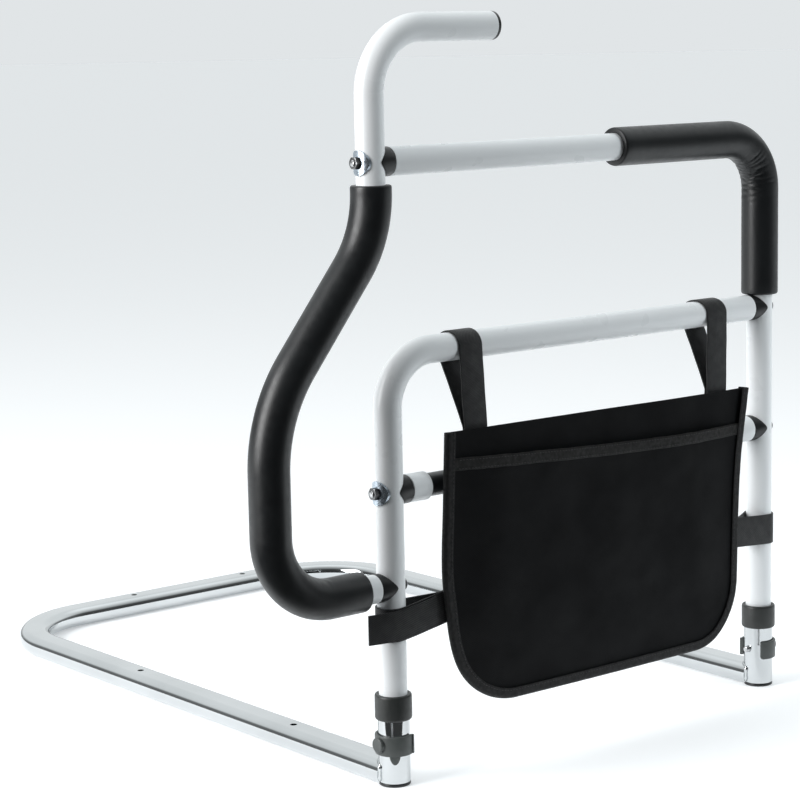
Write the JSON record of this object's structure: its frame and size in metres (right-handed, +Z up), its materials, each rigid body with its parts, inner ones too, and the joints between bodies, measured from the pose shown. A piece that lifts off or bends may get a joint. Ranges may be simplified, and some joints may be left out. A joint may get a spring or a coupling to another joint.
{
  "type": "bed assist bar",
  "caption": "Bedside assist rail: a tubular hand rail with foam grips and a hanging pouch, plugged into a chromed loop that slides under the mattress.",
  "frame": {"origin": "on the floor, at the centre of the whole bar's footprint", "axes": "+Z up; +X along the hand rail from the side handle to the right post; +Y from the hand rail back along the loop's arms, under the mattress"},
  "size_m": [0.642, 0.7402, 0.6772],
  "materials": {
    "chrome": "polished chrome plate",
    "white_coat": "gloss white powder coat",
    "dark_coat": "dark satin coat",
    "foam": "soft closed-cell foam, satin skin",
    "black_plastic": "moulded, satin",
    "grey_plastic": "moulded, satin",
    "bright_steel": "bright, machined",
    "zinc": "bright zinc plate",
    "dark_zinc": "dark zinc plate",
    "pouch_cloth": "plain-woven coated nylon",
    "binding_tape": "ribbed folded tape",
    "webbing": "twill webbing"
  },
  "bodies": {
    "floor_loop": {"base_loop": "chrome", "socket_left": "chrome", "socket_right": "chrome", "floor_plug_left": "black_plastic", "floor_plug_right": "black_plastic", "collar_left": "grey_plastic", "collar_right": "grey_plastic"},
    "hand_rail": {"arch_tube": "white_coat", "right_frame_tube": "white_coat", "handle_tube": "white_coat", "mid_sleeve_left": "white_coat", "mid_sleeve_right": "white_coat", "mid_crossbar": "dark_coat", "foam_grip_side": "foam", "foam_grip_top": "foam", "handle_end_cap": "black_plastic", "saddle_upper": "black_plastic", "saddle_lower": "black_plastic", "saddle_mid_left": "black_plastic", "saddle_mid_right": "black_plastic", "saddle_handle_end": "black_plastic", "stud_upper": "bright_steel", "stud_mid": "bright_steel", "insert_upper": "bright_steel", "insert_lower": "bright_steel", "insert_mid_left": "bright_steel", "insert_mid_right": "bright_steel", "insert_handle_end": "bright_steel", "washer_upper": "zinc", "washer_mid": "zinc", "nut_upper": "dark_zinc", "nut_mid": "dark_zinc", "bolt_lower": "dark_zinc", "bolt_mid_right": "dark_zinc", "bolt_handle_end": "dark_zinc", "pouch_back_panel": "pouch_cloth", "pouch_front_pocket": "pouch_cloth", "pouch_binding": "binding_tape", "hanging_strap_left": "webbing", "hanging_strap_right": "webbing", "side_strap_left": "webbing", "side_strap_right": "webbing"},
    "left_clip": {"lock_clip_left": "grey_plastic", "lock_pin_left": "bright_steel"},
    "right_clip": {"lock_clip_right": "grey_plastic", "lock_pin_right": "bright_steel"}
  },
  "joints": [
    {"name": "rail_lift", "type": "slide", "parent": "floor_loop", "child": "hand_rail", "axis": [0, 0, 1], "range_m": [0, 0.0762]},
    {"name": "left_clip_pull", "type": "slide", "parent": "floor_loop", "child": "left_clip", "axis": [-1, 0, 0], "range_m": [0, 0.036], "deforming": ["lock_clip_left"]},
    {"name": "right_clip_pull", "type": "slide", "parent": "floor_loop", "child": "right_clip", "axis": [1, 0, 0], "range_m": [0, 0.036], "deforming": ["lock_clip_right"]}
  ]
}
